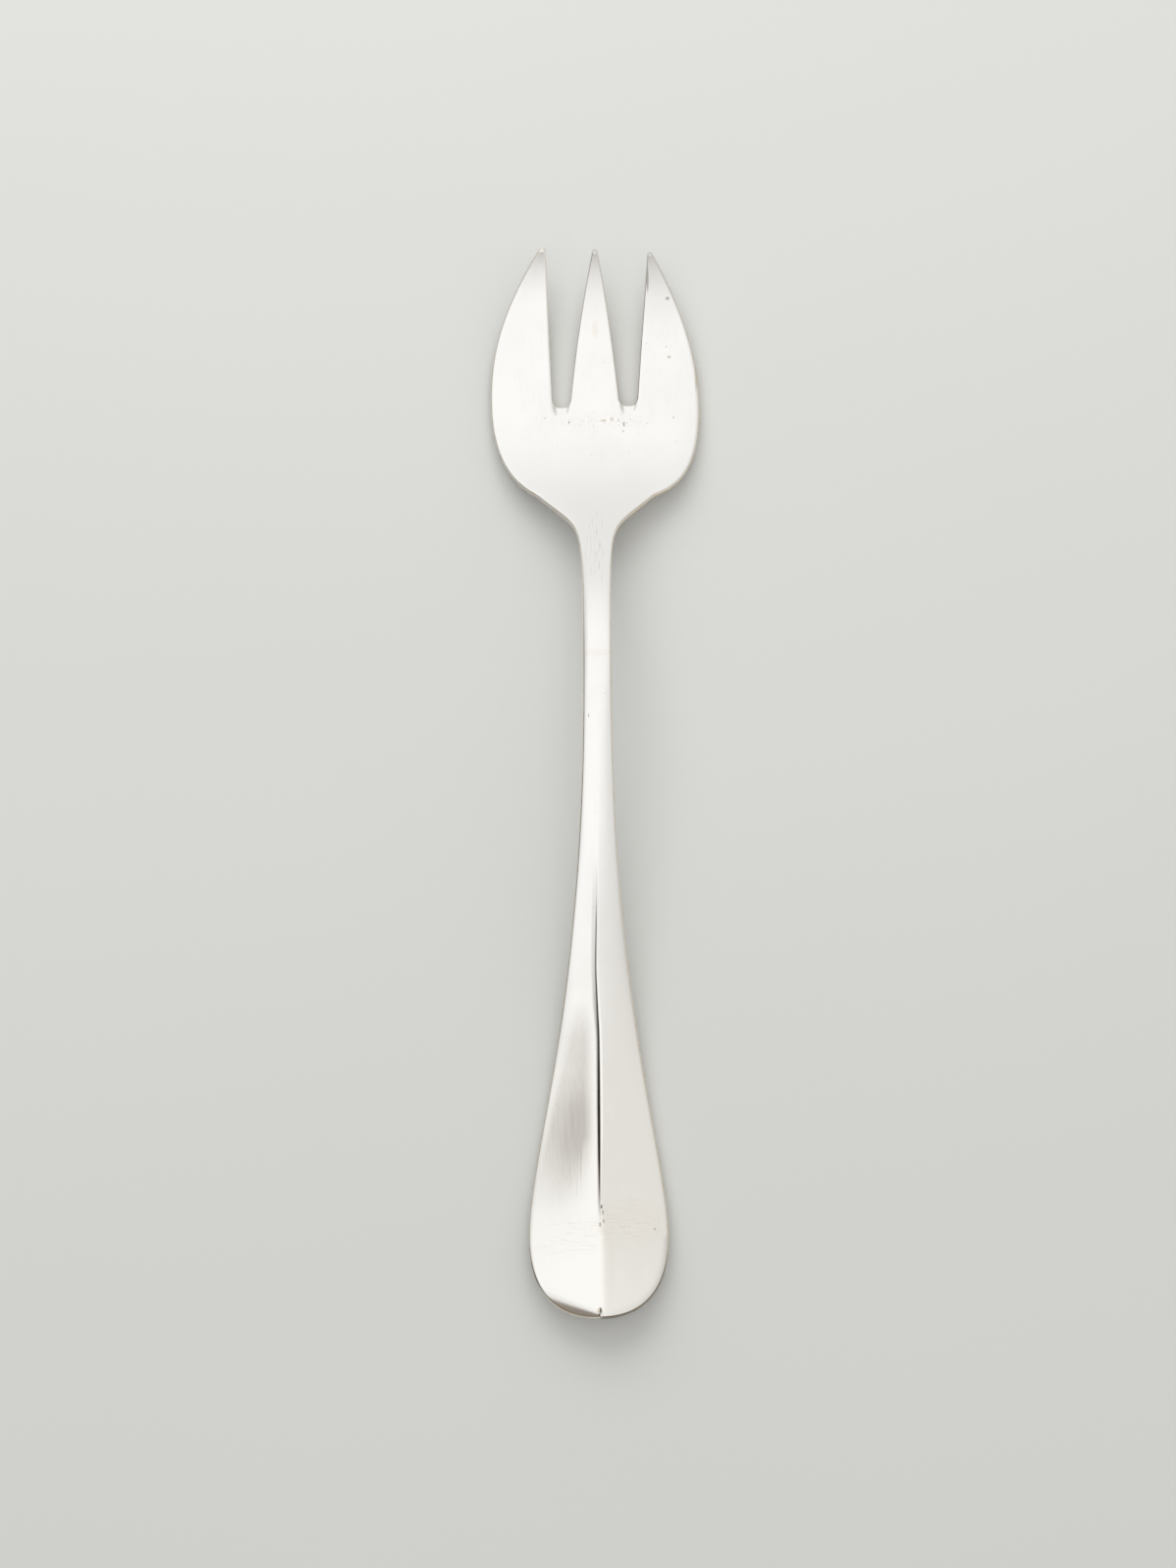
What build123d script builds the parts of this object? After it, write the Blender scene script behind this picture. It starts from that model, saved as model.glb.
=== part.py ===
from build123d import *
from dataclasses import astuple, dataclass
import os

# An oyster fork lying on its back: X runs across, Y from the handle to the tines, Z up, in millimetres

# Lengths, one after the other from the handle end to the tine tips
end_length = 11.2            # rounded end, up to the widest place of the handle
taper_length = 79.4          # long taper, up to the slim stem
stem_length = 9.4            # slim stem with level sides
neck_length = 15.0           # flare, up to the middle of the shoulder
shoulder_length = 13.8       # rounded shoulder, up to the widest place of the head
tine_edge_length = 21.2      # outer edge of the head, from there to the tips

# Widths of the outline
handle_width = 19.7
stem_width = 4.0
shoulder_width = 16.0        # between the middles of the two shoulders
head_width = 29.2
outer_tip_width = 0.7        # blunt tip of each outer tine

# How far each curve of the outline holds its direction before it bends
end_hold = 6.4
end_side_hold = 7.2
handle_side_hold = 11.8
stem_hold = 47.0
neck_hold = 12.0
shoulder_hold_in = 7.0
shoulder_hold_out = 1.5
palm_side_hold = 11.5
tine_side_hold = 5.4
tip_hold = 10.6
shoulder_angle = 49.0        # of the middle of the shoulder, from the length of the fork
tip_angle = 33.5             # of the outer edge at the tips, from the length of the fork

# The two slots between the tines
tine_length = 21.8
middle_tine_width = 7.0      # at the slot roots
middle_tip_width = 0.7
middle_tine_bulge = 0.2      # how far the sides of the middle tine swell out of a straight taper
slot_root_width = 2.4
slot_mouth_width = 6.6       # at the tips
slot_root_radius = 1.05

# Filed slope that runs from the palm down into each slot root
root_bevel_length = 1.35
root_bevel_depth = 0.2
root_bevel_width = 1.9

# Side view: heights of the back, and where along the fork they lie, from the handle end
end_lift = 3.0               # the handle end turns up
handle_rest_at = 27.0
arch_height = 8.6            # the stem arches over the table
arch_at = 91.0
palm_rest_at = 128.0
tip_lift = 5.0               # the tines turn up
rest_wear = 0.08             # worn off the back where it rests

# Thickness in the middle of the fork
end_thickness = 2.3
ridge_thickness = 2.8
stem_thickness = 3.1
palm_thickness = 1.9
tip_thickness = 1.1

# How far the front falls from its middle to the edge of the strip
end_fall = 0.9
ridge_fall = 1.4
stem_fall = 0.3
palm_fall = 0.13
tip_fall = 0.07

# How far the back rises from its middle to the edge of the strip
handle_crown = 0.35
stem_crown = 1.15
palm_crown = 0.4
tip_crown = 0.1

# Places along the fork between which the cross section keeps one form, from the handle end
ridge_from = 17.0
ridge_to = 39.0
stem_from = 71.0
palm_from = 118.0

# Front of the handle: a narrow crest with steep sides on long flanks; shares are of the half width
ridge_crest_drop = 0.57
ridge_crest_share = 0.038
ridge_flank_rise = 1.0
ridge_flank_share = 0.88

# The rim is rounded round the front, and bevelled round the back and in the slots
rim_radius = 0.25
rim_bevel = 0.25
slot_rim_bevel = 0.15

# The strip before it is trimmed: wider by this factor, and longer by this length at each end
strip_spread = 1.15
strip_overrun = 2.5
section_count = 40
trim_floor = -2.0            # the trimming walls reach from below the back
trim_ceiling = 18.0          # to above the front
joint_margin = 0.1           # a wall this near to the middle plane is where the two halves join

fork_length = end_length + taper_length + stem_length + neck_length + shoulder_length + tine_edge_length
y_end = -fork_length / 2
y_widest = y_end + end_length
y_stem = y_widest + taper_length
y_neck = y_stem + stem_length
y_shoulder = y_neck + neck_length
y_head = y_shoulder + shoulder_length
y_tip = y_head + tine_edge_length
y_root = y_tip - tine_length
y_rim_stop = y_tip - strip_overrun
outer_tip_x = middle_tip_width / 2 + slot_mouth_width + outer_tip_width

lengthwise = Vector(0, 1)
crosswise = Vector(1, 0)


@dataclass
class Gauge:
    """One form of the cross section: heights in millimetres, and shares of the half width."""

    middle: float        # thickness in the middle
    fall: float          # how far the front drops from its middle to its edge
    crown: float         # how far the back rises from its middle to its edge
    crest_share: float   # how far out the crest holds its direction
    crest_drop: float    # how far the front has dropped there
    flank_share: float   # how far in from the edge the flank holds its direction
    flank_rise: float    # how far the front has risen there, from the edge


third = 1 / 3
end_gauge = Gauge(end_thickness, end_fall, handle_crown, third, end_fall / 3, third, end_fall / 3)
ridge_gauge = Gauge(ridge_thickness, ridge_fall, handle_crown,
                    ridge_crest_share, ridge_crest_drop, ridge_flank_share, ridge_flank_rise)
stem_gauge = Gauge(stem_thickness, stem_fall, stem_crown, third, 0, third, stem_fall * 2 / 3)
palm_gauge = Gauge(palm_thickness, palm_fall, palm_crown, third, 0, third, palm_fall * 2 / 3)
tip_gauge = Gauge(tip_thickness, tip_fall, tip_crown, third, 0, third, tip_fall * 2 / 3)

gauges = [
    (y_end, end_gauge),
    (y_end + ridge_from, ridge_gauge),
    (y_end + ridge_to, ridge_gauge),
    (y_end + stem_from, stem_gauge),
    (y_neck, stem_gauge),
    (y_end + palm_from, palm_gauge),
    (y_root, palm_gauge),
    (y_tip, tip_gauge),
]


def ease(share):
    """Smooth step from 0 to 1, level at both ends."""
    share = min(max(share, 0), 1)
    return share * share * (3 - 2 * share)


def gauge_at(y):
    """The form of the cross section at one place, eased between the listed gauges."""
    for (y_low, low), (y_high, high) in zip(gauges, gauges[1:]):
        if y <= y_high:
            break
    share = ease((y - y_low) / (y_high - y_low))
    return Gauge(*(a + (b - a) * share for a, b in zip(astuple(low), astuple(high))))


def back_height(y):
    """Height of the middle of the back: two places at rest, an arch between them, both ends turned up."""
    y_handle_rest = y_end + handle_rest_at
    y_arch = y_end + arch_at
    y_palm_rest = y_end + palm_rest_at
    if y < y_handle_rest:
        height = end_lift * ((y_handle_rest - y) / (y_handle_rest - y_end)) ** 2
    elif y < y_arch:
        height = arch_height * ease((y - y_handle_rest) / (y_arch - y_handle_rest))
    elif y < y_palm_rest:
        height = arch_height * ease((y_palm_rest - y) / (y_palm_rest - y_arch))
    else:
        height = tip_lift * ((y - y_palm_rest) / (y_tip - y_palm_rest)) ** 2
    return height - rest_wear


def front_height(y):
    """Height of the middle of the front."""
    return back_height(y) + gauge_at(y).middle


def half_outline(height):
    """Edges of the right half of the outline, from the handle end to the tips, at one height.

    The blank was cut flat and bent afterwards, so its wall stands square to the sloping shoulder:
    there the outline moves along the fork as the wall climbs.
    """
    slope = back_height(y_shoulder - 0.5) - back_height(y_shoulder + 0.5)
    metal_height = (back_height(y_shoulder) + front_height(y_shoulder)) / 2
    lean = (height - metal_height) * slope
    end = Vector(0, y_end, height)
    widest = Vector(handle_width / 2, y_widest, height)
    stem = Vector(stem_width / 2, y_stem, height)
    neck = Vector(stem_width / 2, y_neck, height)
    shoulder = Vector(shoulder_width / 2, y_shoulder + lean, height)
    head = Vector(head_width / 2, y_head, height)
    tip = Vector(outer_tip_x, y_tip, height)
    along_shoulder = lengthwise.rotate(Axis.Z, -shoulder_angle)
    along_tip = lengthwise.rotate(Axis.Z, tip_angle)
    return [
        Bezier(end, end + crosswise * end_hold, widest - lengthwise * end_side_hold, widest),
        Bezier(widest, widest + lengthwise * handle_side_hold, stem - lengthwise * stem_hold, stem),
        Line(stem, neck),
        Bezier(neck, neck + lengthwise * neck_hold, shoulder - along_shoulder * shoulder_hold_in, shoulder),
        Bezier(shoulder, shoulder + along_shoulder * shoulder_hold_out,
               head - lengthwise * palm_side_hold, head),
        Bezier(head, head + lengthwise * tine_side_hold, tip - along_tip * tip_hold, tip),
    ]


def half_blank():
    """The right half of the outline as a body, its walls ruled from below the back to above the front."""
    layers = []
    for height in (trim_floor, trim_ceiling):
        edges = half_outline(height)
        front_end = Line(edges[-1] @ 1, (0, y_tip, height))
        middle = Line(front_end @ 1, edges[0] @ 0)
        layers.append(Face(Wire([*edges, front_end, middle])))
    return loft(layers, ruled=True)


def strip_section(y, outline_half):
    """Cross section of the graded strip, a little wider than the outline."""
    gauge = gauge_at(y)
    half = outline_half * strip_spread
    back = back_height(y)
    back_edge = back + gauge.crown
    back_pull = back - gauge.crown / 3
    crest = back + gauge.middle
    edge = crest - gauge.fall
    crest_x = half * gauge.crest_share
    flank_x = half * (1 - gauge.flank_share)

    def front(side):
        return Bezier((side * half, y, edge), (side * flank_x, y, edge + gauge.flank_rise),
                      (side * crest_x, y, crest - gauge.crest_drop), (0, y, crest))

    rear = Bezier((-half, y, back_edge), (-half / 3, y, back_pull), (half / 3, y, back_pull),
                  (half, y, back_edge))
    right_wall = Line((half, y, back_edge), (half, y, edge))
    left_wall = Line((-half, y, back_edge), (-half, y, edge))
    return Face(Wire([rear, right_wall, front(1), front(-1), left_wall]))


def strip():
    """The graded and bent strip, lofted through evenly spaced sections."""
    sides = Wire(half_outline(trim_floor)[1:5])
    low = y_end - strip_overrun
    pitch = (y_tip + strip_overrun - low) / (section_count - 1)
    sections = []
    for index in range(section_count):
        y = low + index * pitch
        if y <= y_widest:
            half = handle_width / 2
        elif y >= y_head:
            half = head_width / 2
        else:
            half = (sides & Plane((0, y, 0), z_dir=(0, 1, 0))).X
        sections.append(strip_section(y, half))
    return loft(sections)


def slot():
    """The right slot between the tines, with a rounded root and an open mouth."""
    root_inner = Vector(middle_tine_width / 2, y_root, trim_floor)
    root_outer = root_inner + crosswise * slot_root_width
    mouth_inner = Vector(middle_tip_width / 2, y_tip, trim_floor)
    mouth_outer = mouth_inner + crosswise * slot_mouth_width
    clear = lengthwise * strip_overrun
    sides = [
        SagittaArc(root_inner, mouth_inner, -middle_tine_bulge),
        *Polyline(mouth_inner, mouth_inner + clear, mouth_outer + clear, mouth_outer, root_outer,
                  root_inner).edges(),
    ]
    gap = extrude(Face(Wire(sides)), trim_ceiling - trim_floor, dir=(0, 0, 1))
    roots = gap.edges().filter_by(Axis.Z).group_by(Axis.Y)[0]
    return fillet(roots, slot_root_radius)


def rim(body, facing, low, high):
    """Edges between the walls of a half fork and its front (1) or back (-1), with middles between two places."""
    faces = body.faces()
    skins = faces.filter_by(lambda face: face.normal_at(face.center()).Z * facing > 0.5)
    walls = faces.filter_by(lambda face: abs(face.normal_at(face.center()).Z) < 0.5)
    walls = walls.filter_by(lambda face: face.center().X > joint_margin)
    return (skins.edges() & walls.edges()).filter_by_position(Axis.Y, low, high)


def root_bevel(side):
    """Wedge that files the front down into one slot root."""
    x = side * (middle_tine_width + slot_root_width) / 2
    foot = y_root - root_bevel_length
    clear_y = y_root + strip_overrun
    level = front_height(y_root)
    wedge = Polyline((x, foot, front_height(foot)), (x, y_root, level - root_bevel_depth),
                     (x, clear_y, level - root_bevel_depth), (x, clear_y, level + strip_overrun),
                     (x, foot, level + strip_overrun), close=True)
    return extrude(Face(Wire(wedge.edges())), root_bevel_width / 2, both=True)


half = strip() & half_blank()
half = fillet(rim(half, 1, y_end, y_rim_stop), rim_radius)
half = chamfer(rim(half, -1, y_end, y_rim_stop), rim_bevel)
half -= slot()
for facing in (1, -1):
    half = chamfer(rim(half, facing, y_root - slot_root_radius, y_rim_stop), slot_rim_bevel)
fork = half + mirror(half, about=Plane.YZ)
for side in (1, -1):
    fork -= root_bevel(side)
fork = split(fork, Plane.XY, keep=Keep.TOP)

os.makedirs("parts", exist_ok=True)
export_step(fork, "parts/oyster_fork.step")
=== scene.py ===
"""Oyster fork in worn silver plate, lying face up on a pale studio floor."""
import math

import bpy
import numpy as np
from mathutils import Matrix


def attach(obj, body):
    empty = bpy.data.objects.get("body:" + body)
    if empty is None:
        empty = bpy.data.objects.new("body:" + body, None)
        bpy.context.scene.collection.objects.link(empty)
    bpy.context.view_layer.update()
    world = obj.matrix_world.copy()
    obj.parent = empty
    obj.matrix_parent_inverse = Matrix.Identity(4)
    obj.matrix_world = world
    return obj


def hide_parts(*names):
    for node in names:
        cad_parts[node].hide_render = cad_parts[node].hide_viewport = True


bl_info = {
    "name": "Oyster fork",
    "version": (1, 0, 0),
    "blender": (4, 5, 0),
    "location": "View3D > Sidebar > Oyster fork",
    "description": "A silver-plated oyster fork and its studio",
    "category": "Object",
}

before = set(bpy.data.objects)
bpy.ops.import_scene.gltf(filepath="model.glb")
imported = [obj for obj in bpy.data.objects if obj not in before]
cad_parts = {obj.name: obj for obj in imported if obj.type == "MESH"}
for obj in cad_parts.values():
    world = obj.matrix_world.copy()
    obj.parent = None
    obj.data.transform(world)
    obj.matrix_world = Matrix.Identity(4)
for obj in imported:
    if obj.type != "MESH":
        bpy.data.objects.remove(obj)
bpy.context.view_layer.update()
NODE = "oyster_fork"
MM = 0.001

# Stations along the fork, from the handle end to the tips; sizes are in millimetres where no unit is named
Y_END = -75.0
Y_WIDEST = -63.8
Y_STEM = 15.6
Y_NECK = 25.0
Y_SHOULDER = 40.0
Y_HEAD = 53.8
Y_TIP = 75.0
Y_HANDLE_REST = -48.0
Y_ARCH = 16.0
Y_PALM_REST = 53.0
REST_WEAR = 0.08

# How far each curve of the outline holds its direction before it bends
END_HOLD = 6.4
END_SIDE_HOLD = 7.2
HANDLE_SIDE_HOLD = 11.8
STEM_HOLD = 47.0
NECK_HOLD = 12.0
SHOULDER_HOLD_IN = 7.0
SHOULDER_HOLD_OUT = 1.5
PALM_SIDE_HOLD = 11.5
TINE_SIDE_HOLD = 5.4
TIP_HOLD = 10.6

# Middle of the shoulder, and the middle tine; angles are in degrees from the length of the fork
SHOULDER_X = 8.0
SHOULDER_ANGLE = 49.0
MIDDLE_ROOT_ANGLE = 6.0
MIDDLE_TIP_ANGLE = 11.9
MIDDLE_TIP_RADIUS = 0.40
MIDDLE_TIP_Y = 74.75

# Crest of the handle: softness of its edge and of the ends of its two faces, and where its tarnish lies
CREST_SOFT = 0.02
STEEP_SOFT = 0.025
SLANT_SOFT = 0.06
CREST_CHANGE = 0.2           # over this width the left flank takes over from the right one
GROOVE_ASIDE = 0.18          # from the crest to the middle of the tarnish
GROOVE_WIDTH = 0.18

# Slope filed into each slot root
ROOT_RUN = 1.35
ROOT_RUN_LIMIT = 1.4         # share of the run at which the slope ends, beyond the root
ROOT_DEPTH = 0.17
ROOT_HALF_WIDTH = 0.62
ROOT_SPREAD = 0.2            # what the half width gains along the run
ROOT_SIDE = 0.25             # width of its eased sides

# Facet worn on the left of the handle end: a place on its upper line, its heading in degrees, its slope
FACET_X = -3.6
FACET_Y = -73.05
FACET_TURN = 20.0
FACET_SLOPE = 0.75
FACET_SOFT = 0.06            # softness of its upper line at the crest
FACET_SOFT_GAIN = 0.03       # what the softness gains with each millimetre to the left
FACET_SOFT_REACH = 8.0
NICK_FROM = -0.1             # the facet ends in a nick here
NICK_WIDTH = 0.35

# Edge worn round on the right of the handle end
ROLL_DEPTH = 0.14
ROLL_REACH = 0.85
ROLL_START = 0.7             # from the crest to where the full depth is reached

# Rim: where the slope next to it is measured, the slopes it can follow, and how much of the wall it may fill
SLOPE_PROBE = 0.1
LEAST_SLOPE = -0.5
GREATEST_SLOPE = 0.9
RIM_FILL = 0.94
RIM_CHANGE_STOP = 3.0        # the rim has the radius of the slots from this far before the outer tip
EDGE_REACH = 0.4             # how fast the wear fades from the edge inwards

# Points of the runs of the outline, and of the table of slopes that bends the blank
CURVE_POINTS = 160
LONG_POINTS = 300
TAPER_POINTS = 600
STEM_POINTS = 60
ARC_POINTS = 61
BEND_POINTS = 3000
BEND_MARGIN = 2              # how far the table goes on beyond both ends

# How far the borders of the grid pull it out of its even run, along the fork or as shares of the tine
ROOT_ROW_RISE = 0.35         # the row at the slot roots lies this far beyond them
HEAD_FROM = 26.0             # from here on the columns spread to those of the head
HEAD_OVER = 22.0
END_PULL = 14.0
ROOT_PULL = 9.0
TIP_PULL = 0.12
FOOT_PULL = 0.3

# Counts of the grid: columns of half the middle tine, a slot and an outer tine, rows, steps round the rim
MIDDLE_COLUMNS = 14
SLOT_COLUMNS = 12
OUTER_COLUMNS = 24
HALF_COLUMNS = MIDDLE_COLUMNS + SLOT_COLUMNS + OUTER_COLUMNS
BODY_ROWS = 270
TINE_ROWS = 84
ROUND_STEPS = 4
WALL_STEPS = 2

# Studio: floor, lamp and place of the camera in metres, roll of the camera in degrees
FLOOR_HALF = 2.5
FLOOR_POINTS = 21
LAMP_WIDTH = 0.5
LAMP_DEPTH = 0.3
LAMP_PLACE = (-0.06, 0.46, 0.34)
SENSOR_HEIGHT = 36.0         # in millimetres
VIEW_HEIGHT = 220.0          # millimetres from top to bottom of the picture, at the level of the metal
METAL_LEVEL = 4.0            # millimetres above the floor
CAMERA_X = -0.00115
CAMERA_ROLL = -0.33


def length(name, description, millimetres):
    """A size that the user can change, kept in metres."""
    return bpy.props.FloatProperty(name=name, description=description, default=millimetres * MM,
                                   min=0.0, precision=5, unit="LENGTH", subtype="DISTANCE")


def colour(name, description, default):
    """A linear colour that the user can change."""
    return bpy.props.FloatVectorProperty(name=name, description=description, default=default,
                                         size=3, min=0.0, max=1.0, subtype="COLOR")


def level(name, description, default):
    """A plain number that the user can change."""
    return bpy.props.FloatProperty(name=name, description=description, default=default, min=0.0)


class ForkShape(bpy.types.PropertyGroup):
    """Sizes of the fork."""
    handle_width: length("Handle width", "Widest place of the handle", 19.7)
    stem_width: length("Stem width", "Slim stem between handle and head", 4.0)
    head_width: length("Head width", "Widest place of the head", 29.15)
    slot_width: length("Slot width", "Between the tines, at the slot roots", 2.4)
    root_radius: length("Root radius", "Corners of the slot roots", 1.05)
    rim_radius: length("Rim radius", "Rounding of the outer edge", 0.25)
    slot_rim_radius: length("Slot rim radius", "Rounding of the edges between the tines", 0.15)
    arch_height: length("Arch height", "How high the stem stands off the table", 8.6)
    end_lift: length("End lift", "How far the handle end turns up", 3.0)
    tip_lift: length("Tip lift", "How far the tines turn up", 5.0)
    crest_gain: level("Crest gain", "Steepness of the narrow ridge on the front of the handle", 1.0)


class SilverFinish(bpy.types.PropertyGroup):
    """Colours and wear of the silver plate."""
    silver: colour("Silver", "Clean polished plate", (0.985, 0.975, 0.958))
    base_metal: colour("Base metal", "Yellow metal that shows at worn edges", (0.78, 0.67, 0.48))
    tarnish: colour("Tarnish", "Brown stain in pits and marks", (0.20, 0.125, 0.06))
    stain: colour("Stain", "Yellow-brown specks", (0.42, 0.29, 0.13))
    # Painted dark reflection of the shaded floor on the narrow sides; also the colour of the fine lines on
    # the neck
    wall: colour("Wall", "Dull brownish plate on the narrow sides", (0.46, 0.40, 0.33))
    # Greyer painted dark reflection on the narrow sides of the left
    left_wall_reflection: colour("Left wall", "Greyer plate on the narrow sides of the left", (0.45, 0.43, 0.41))
    # Painted grey reflection on the left flank of the handle
    grey_reflection: colour("Haze", "Grey tint on the left of the handle", (0.555, 0.523, 0.488))
    # Painted grey reflection at the tops of the outer tines
    tip_reflection: colour("Dull", "Plate dulled by use at the tips of the tines", (0.84, 0.825, 0.80))
    cream: colour("Cream", "Yellower plate of the handle", (0.975, 0.955, 0.895))
    roughness: level("Roughness", "Of the clean plate", 0.13)
    scratch_depth: level("Scratch depth", "Strength of the hairline scratches", 0.10)


class StudioLook(bpy.types.PropertyGroup):
    """Floor, light and camera."""
    floor: colour("Floor", "Pale table top", (0.75, 0.756, 0.738))
    key_power: level("Key power", "Soft lamp beyond the tines, in watts", 1.5)
    sky_level: level("Sky level", "Brightness of the tent overhead", 1.0)
    tent: colour("Tent", "Overhead and on the left", (1.0, 0.998, 0.992))
    tent_right: colour("Tent right", "Greyer cloth on the right", (0.763, 0.754, 0.733))
    tent_near: colour("Tent near", "Towards the handle end", (0.79, 0.785, 0.77))
    tent_far: colour("Tent far", "Beyond the tines", (0.815, 0.818, 0.805))
    tent_foot: colour("Tent foot", "Dim low part towards the handle end", (0.24, 0.205, 0.17))
    tent_gap: colour("Tent gap", "Dark low part on the left", (0.04, 0.036, 0.03))
    camera_height: length("Camera height", "Above the table", 750.0)


class Side:
    """What differs between the left and the right half of the hand-filed head, in millimetres and degrees."""

    def __init__(self, head_out, head_up, tip_x, tip_y, tip_radius, tip_angle, root_x, root_y):
        self.head_out = head_out        # added to half the head width
        self.head_up = head_up          # shift of the widest place along the fork
        self.tip_x = tip_x              # middle of the rounded tip
        self.tip_y = tip_y              # top of the tip
        self.tip_radius = tip_radius
        self.tip_angle = tip_angle      # of the outer edge at the tip, from the length of the fork
        self.root_x = root_x            # outer side of the slot at its root
        self.root_y = root_y


RIGHT = Side(head_out=0.14, head_up=-1.2, tip_x=7.72, tip_y=74.35, tip_radius=0.36, tip_angle=31.0,
             root_x=5.90, root_y=53.25)
LEFT = Side(head_out=0.12, head_up=0.3, tip_x=7.42, tip_y=75.0, tip_radius=0.54, tip_angle=33.5,
            root_x=5.95, root_y=53.0)


def ease(part):
    """Smooth step: 3 p^2 - 2 p^3, held at 0 and 1 outside."""
    part = np.clip(part, 0.0, 1.0)
    return part * part * (3.0 - 2.0 * part)


def graded(y, places, values):
    """Value along the fork: a cubic Hermite curve through the listed places that doesn't overshoot them.

    The slope at a place is the harmonic mean of the chords on its two sides, or 0 where they turn.
    """
    places = np.asarray(places, float)
    values = np.asarray(values, float)
    chord = np.diff(values) / np.diff(places)
    both = chord[1:] * chord[:-1]
    slope = np.zeros(len(places))
    slope[1:-1][both > 0] = (2 * both / np.where(both > 0, chord[1:] + chord[:-1], 1.0))[both > 0]
    low = np.clip(np.searchsorted(places, y) - 1, 0, len(places) - 2)
    span = places[low + 1] - places[low]
    t = np.clip((y - places[low]) / span, 0.0, 1.0)
    return ((1 + 2 * t) * (1 - t) ** 2 * values[low] + t * t * (3 - 2 * t) * values[low + 1]
            + t * (1 - t) * span * ((1 - t) * slope[low] - t * slope[low + 1]))


def ramp(distance, reach, soft):
    """Grows evenly with the distance up to its reach and then stays: d - k log(1 + exp((d - r) / k))."""
    return distance - soft * np.logaddexp(0.0, (distance - reach) / soft)


def bezier(start, pull, push, end, count=CURVE_POINTS):
    """Cubic curve: four points weighed by the Bernstein polynomials of t from 0 to 1."""
    t = np.linspace(0.0, 1.0, count)[:, None]
    start, pull, push, end = (np.array(point, float) for point in (start, pull, push, end))
    return (1 - t) ** 3 * start + 3 * t * (1 - t) ** 2 * pull + 3 * t * t * (1 - t) * push + t ** 3 * end


def arc(centre, radius, first, last):
    """Arc from one angle to another: centre + radius (cos a, sin a)."""
    angle = np.radians(np.linspace(first, last, ARC_POINTS))
    return np.array(centre) + radius * np.stack([np.cos(angle), np.sin(angle)], 1)


def heading(degrees):
    """Unit vector that leans to the right of the length of the fork by so many degrees."""
    return np.array([math.sin(math.radians(degrees)), math.cos(math.radians(degrees))])


def half_outline(shape, side):
    """Half of the outline, walked from the handle end to the tip of the middle tine.

    Bezier runs for the handle, stem, shoulder and outer edge, an arc for each tip, a straight side and two
    arcs for the slot, all tangent to each other. Returns dense points and the indices of the grid's corners.
    """
    handle = shape.handle_width / MM / 2
    stem = shape.stem_width / MM / 2
    head = shape.head_width / MM / 2 + side.head_out
    head_y = Y_HEAD + side.head_up
    bend = shape.root_radius / MM
    shoulder = np.array([SHOULDER_X, Y_SHOULDER])
    shoulder_way = heading(SHOULDER_ANGLE)
    edge_way = heading(-side.tip_angle)
    tip_middle = np.array([side.tip_x, side.tip_y - side.tip_radius])
    outer_foot = np.array([side.root_x, side.root_y])
    reach = tip_middle - outer_foot
    lean = math.degrees(math.atan2(reach[0], reach[1]) - math.asin(side.tip_radius / np.linalg.norm(reach)))
    outer_way = heading(lean)
    outer_touch = outer_foot + outer_way * bend * (1 - outer_way[0]) / outer_way[1]
    outer_middle = outer_touch + bend * np.array([-outer_way[1], outer_way[0]])
    inner_way = heading(-MIDDLE_ROOT_ANGLE)
    inner_foot = outer_foot - (shape.slot_width / MM, 0)
    inner_touch = inner_foot + inner_way * bend * (1 + inner_way[0]) / inner_way[1]
    inner_middle = inner_touch + bend * np.array([inner_way[1], -inner_way[0]])
    nose_way = heading(-MIDDLE_TIP_ANGLE)
    nose_middle = (0, MIDDLE_TIP_Y - MIDDLE_TIP_RADIUS)
    nose = arc(nose_middle, MIDDLE_TIP_RADIUS, MIDDLE_TIP_ANGLE, 90.0)
    hold = np.linalg.norm(nose[0] - inner_touch) / 3
    tip = arc(tip_middle, side.tip_radius, side.tip_angle, 180.0 - lean)
    runs = [
        bezier((0, Y_END), (END_HOLD, Y_END), (handle, Y_WIDEST - END_SIDE_HOLD), (handle, Y_WIDEST)),
        bezier((handle, Y_WIDEST), (handle, Y_WIDEST + HANDLE_SIDE_HOLD), (stem, Y_STEM - STEM_HOLD),
               (stem, Y_STEM), TAPER_POINTS)[1:],
        np.linspace((stem, Y_STEM), (stem, Y_NECK), STEM_POINTS)[1:],
        bezier((stem, Y_NECK), (stem, Y_NECK + NECK_HOLD), shoulder - shoulder_way * SHOULDER_HOLD_IN,
               shoulder)[1:],
        bezier(shoulder, shoulder + shoulder_way * SHOULDER_HOLD_OUT, (head, head_y - PALM_SIDE_HOLD),
               (head, head_y))[1:],
        bezier((head, head_y), (head, head_y + TINE_SIDE_HOLD), tip[0] - edge_way * TIP_HOLD, tip[0],
               LONG_POINTS)[1:],
        tip[1:],
        np.linspace(tip[-1], outer_touch, LONG_POINTS)[1:],
        arc(outer_middle, bend, -lean, -90.0)[1:],
        arc(inner_middle, bend, -90.0, -180.0 + MIDDLE_ROOT_ANGLE),
        bezier(inner_touch, inner_touch + inner_way * hold, nose[0] - nose_way * hold, nose[0],
               LONG_POINTS)[1:],
        nose[1:],
    ]
    # The corners lie on the rounded end, twice on the outer tip, in the middle of both root arcs, on the nose
    start = np.cumsum([0] + [len(run) for run in runs])
    quarter = ARC_POINTS // 4
    corners = [int(CURVE_POINTS * 0.6), start[6] + quarter - 1, start[6] + 3 * quarter - 1,
               start[8] + 2 * quarter, start[9] + 2 * quarter, start[11] + 2 * quarter - 2]
    return np.vstack(runs), corners


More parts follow.
